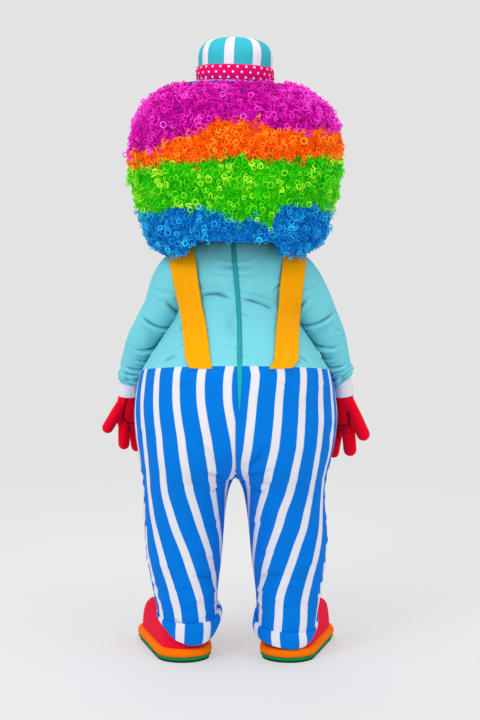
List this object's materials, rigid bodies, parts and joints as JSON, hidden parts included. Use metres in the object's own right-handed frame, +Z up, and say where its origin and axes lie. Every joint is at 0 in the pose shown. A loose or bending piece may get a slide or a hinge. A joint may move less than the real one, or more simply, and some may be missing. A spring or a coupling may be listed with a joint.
{
  "type": "clown mascot costume",
  "caption": "Full clown costume in standing pose: big curly wig and small hat on a hollow head, round bodice with sleeves, straps, wide striped trousers, gloves and round-toed shoes.",
  "frame": {"origin": "between the wearer's shoulders, at shoulder height, where the costume is carried", "axes": "+Z up, -Y the way the costume faces, +X the wearer's left"},
  "size_m": [0.8783, 0.6236, 1.9989],
  "materials": {
    "teal_cloth": "light teal plain-woven cloth, matt",
    "zip_tape": "dark teal zip tape with fine teeth",
    "strap_cloth": "orange-yellow satin strap cloth",
    "white_cloth": "white doubled cloth",
    "striped_cloth": "blue cloth with narrow white stripes, matt",
    "glove_cloth": "red stretch cloth, soft sheen",
    "shoe_red": "red padded shoe cloth",
    "shoe_orange": "orange padded band",
    "shoe_green": "green welt",
    "shoe_sole": "thin black sole",
    "head_skin": "pale fleece over a stiff shell",
    "face_white": "white enamelled eyes",
    "face_red": "red fleece",
    "curls_purple": "purple ringlets",
    "curls_orange": "orange ringlets",
    "curls_green": "green ringlets",
    "curls_blue": "blue ringlets",
    "hat_cloth": "teal and white striped cloth",
    "dotted_cloth": "pink cloth with white dots"
  },
  "bodies": {
    "root": {"bodice_back_left": "teal_cloth", "bodice_back_right": "teal_cloth", "bodice_front": "teal_cloth", "sleeve_left": "teal_cloth", "sleeve_right": "teal_cloth", "cuff_left": "white_cloth", "cuff_right": "white_cloth", "glove_left": "glove_cloth", "glove_right": "glove_cloth", "strap_left": "strap_cloth", "strap_right": "strap_cloth", "trousers_back_left": "striped_cloth", "trousers_back_right": "striped_cloth", "trousers_front_left": "striped_cloth", "trousers_front_right": "striped_cloth", "turnup_left": "striped_cloth", "turnup_right": "striped_cloth", "zip_tape": "zip_tape", "head_shell": "head_skin", "eye_left": "face_white", "eye_right": "face_white", "mouth": "face_red", "nose": "face_red", "wig_blue": "curls_blue", "wig_green": "curls_green", "wig_orange": "curls_orange", "wig_purple": "curls_purple", "hat_crown": "hat_cloth", "hat_band": "dotted_cloth", "hat_brim": "hat_cloth", "shoe_left_upper": "shoe_red", "shoe_left_band": "shoe_orange", "shoe_left_welt": "shoe_green", "shoe_left_sole": "shoe_sole", "shoe_right_upper": "shoe_red", "shoe_right_band": "shoe_orange", "shoe_right_welt": "shoe_green", "shoe_right_sole": "shoe_sole"}
  },
  "joints": []
}
